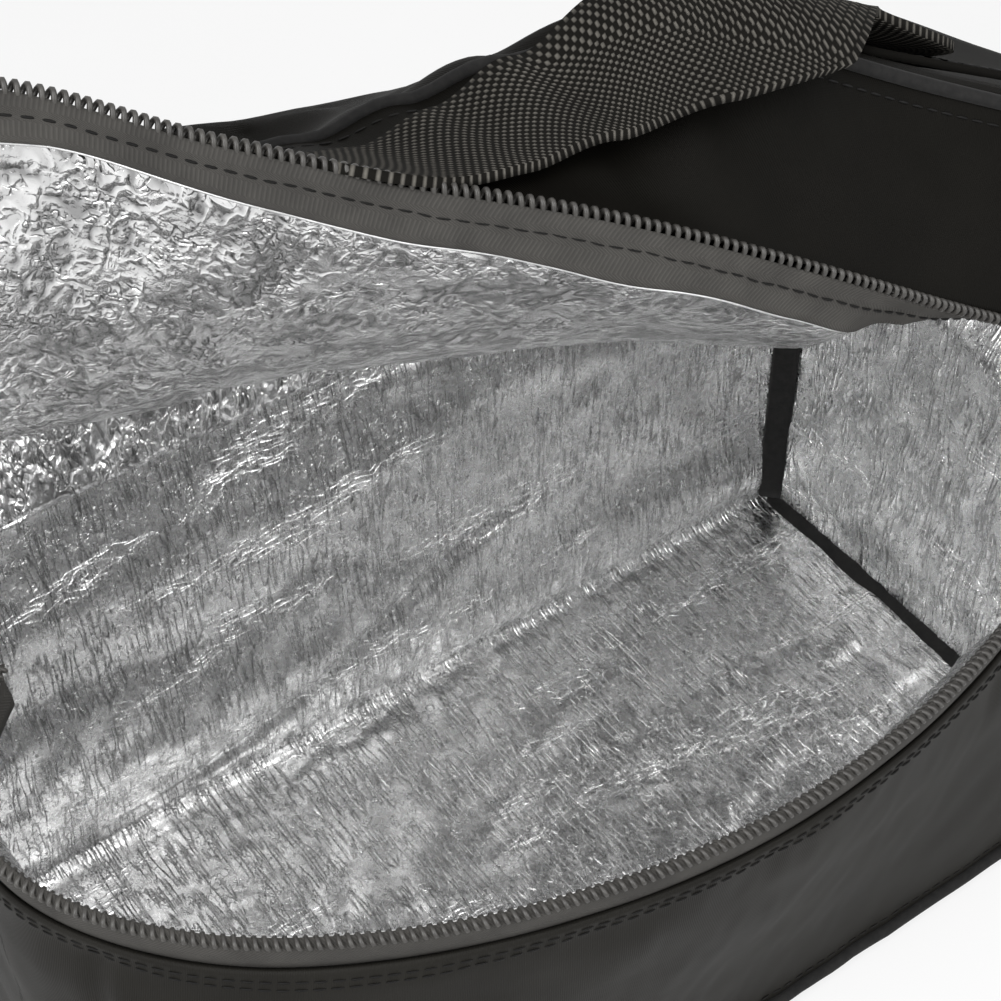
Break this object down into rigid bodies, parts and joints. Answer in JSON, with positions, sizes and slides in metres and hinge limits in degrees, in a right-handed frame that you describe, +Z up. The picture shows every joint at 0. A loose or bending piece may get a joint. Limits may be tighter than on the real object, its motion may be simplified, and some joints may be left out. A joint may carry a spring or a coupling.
{
  "type": "cooler bag",
  "caption": "Soft insulated cooler bag: foil-lined box with a zipped, hinged box lid and a wide webbing handle.",
  "frame": {"origin": "middle of the flat underside", "axes": "+X along the length to the zip slider's end, -Y to the front, +Z up"},
  "size_m": [0.3351, 0.2416, 0.3275],
  "materials": {
    "coated_fabric": "satin",
    "foam": "matte",
    "foil": "satin",
    "tape": "matte",
    "binding": "matte",
    "coil": "satin",
    "webbing": "matte",
    "zip_metal": "satin"
  },
  "bodies": {
    "base": {"outer_shell": "coated_fabric", "foam_walls": "foam", "foam_floor": "foam", "foil_lining": "foil", "binding_left": "binding", "binding_right": "binding", "bottom_piping": "binding", "base_zip_tape": "tape", "base_zip_coil": "coil", "hinge_strip": "coated_fabric"},
    "lid": {"lid_shell": "coated_fabric", "lid_foam_band": "foam", "lid_foam_top": "foam", "lid_lining": "foil", "lid_zip_tape": "tape", "lid_zip_coil": "coil", "lid_hinge_strip": "coated_fabric", "lid_piping": "binding", "handle_tab_left": "webbing", "handle_tab_right": "webbing", "handle_webbing": "webbing"},
    "slider": {"zip_slider": "zip_metal"},
    "puller": {"zip_puller": "zip_metal"}
  },
  "joints": [
    {"name": "lid_hinge", "type": "hinge", "parent": "base", "child": "lid", "pos_m": [0, 0.0878, 0.1431], "axis": [-1, 0, 0], "range_deg": [-90, 40]},
    {"name": "slider_run", "type": "slide", "parent": "base", "child": "slider", "axis": [0, -1, 0], "range_m": [0, 0.07]},
    {"name": "puller_flip", "type": "hinge", "parent": "slider", "child": "puller", "pos_m": [0.1664, 0.0455, 0.1431], "axis": [0, 0, -1], "range_deg": [0, 170]}
  ]
}
